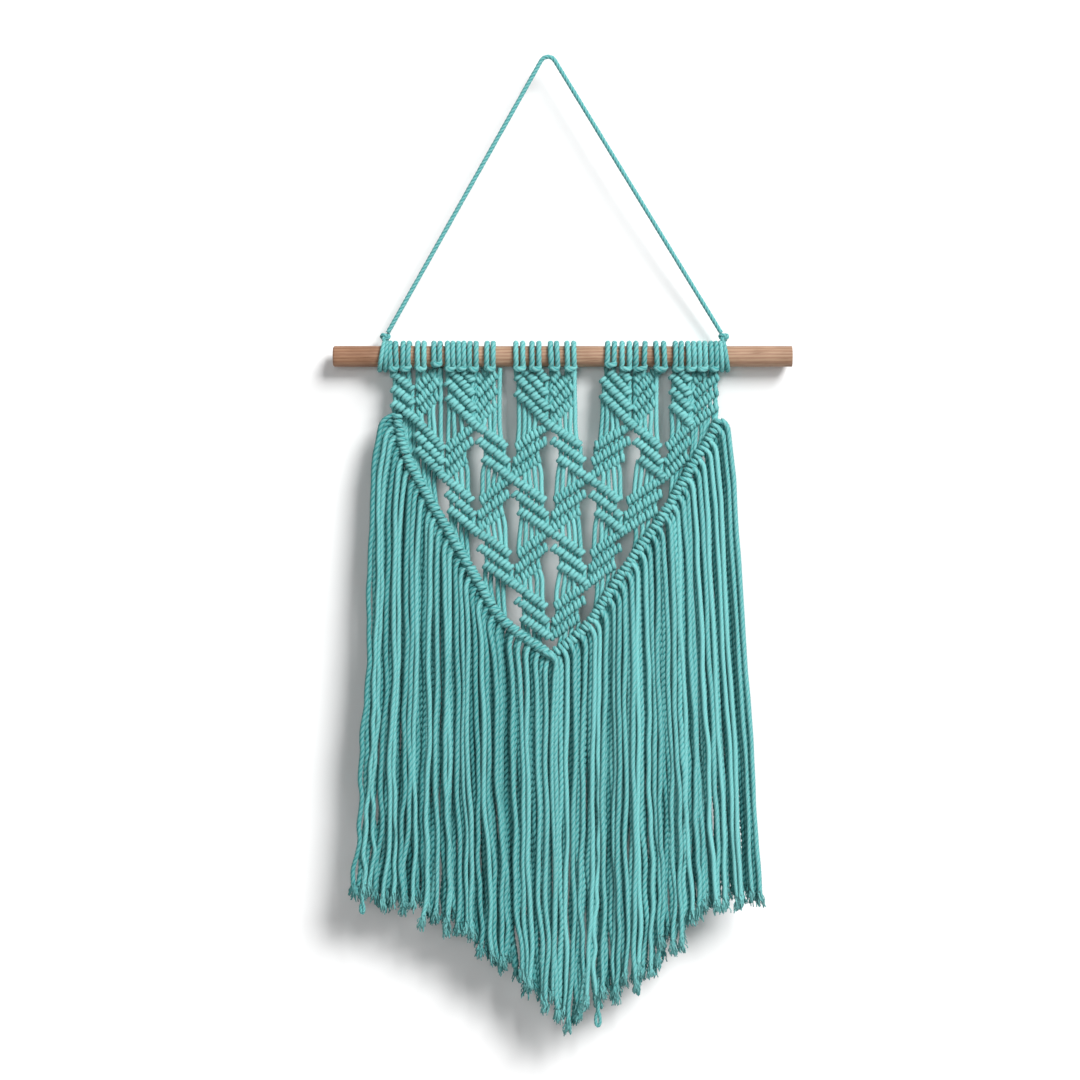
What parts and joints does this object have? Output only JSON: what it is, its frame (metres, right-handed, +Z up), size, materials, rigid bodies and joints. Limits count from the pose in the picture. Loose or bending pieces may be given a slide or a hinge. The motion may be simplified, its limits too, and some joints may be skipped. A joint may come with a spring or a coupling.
{
  "type": "macrame wall hanging with rod",
  "caption": "Knotted cotton cord wall hanging with a lattice of diagonal bars and a long V-shaped fringe, on a round wooden rod with a cord to hang it by.",
  "frame": {"origin": "where the wall hook bears on the underside of the hanging cord, at the top of its triangle", "axes": "+Z up, +X to the right as seen from the front and along the rod, +Y towards the wall"},
  "size_m": [0.35, 0.0241, 0.7234],
  "materials": {
    "rod": "plain sanded hardwood dowel, unvarnished",
    "hanging_cord": "thin twisted cotton cord, matt",
    "hitch_left": "twisted cotton cord, matt",
    "hitch_right": "twisted cotton cord, matt",
    "knotted_panel": "three-ply twisted cotton cord, knotted, matt",
    "fringe_left": "three-ply twisted cotton cord, matt, cut ends slightly frayed",
    "fringe_right": "three-ply twisted cotton cord, matt, cut ends slightly frayed"
  },
  "bodies": {
    "root": {"rod": "rod", "hanging_cord": "hanging_cord", "hitch_left": "hitch_left", "hitch_right": "hitch_right", "knotted_panel": "knotted_panel", "fringe_left": "fringe_left", "fringe_right": "fringe_right"}
  },
  "joints": []
}
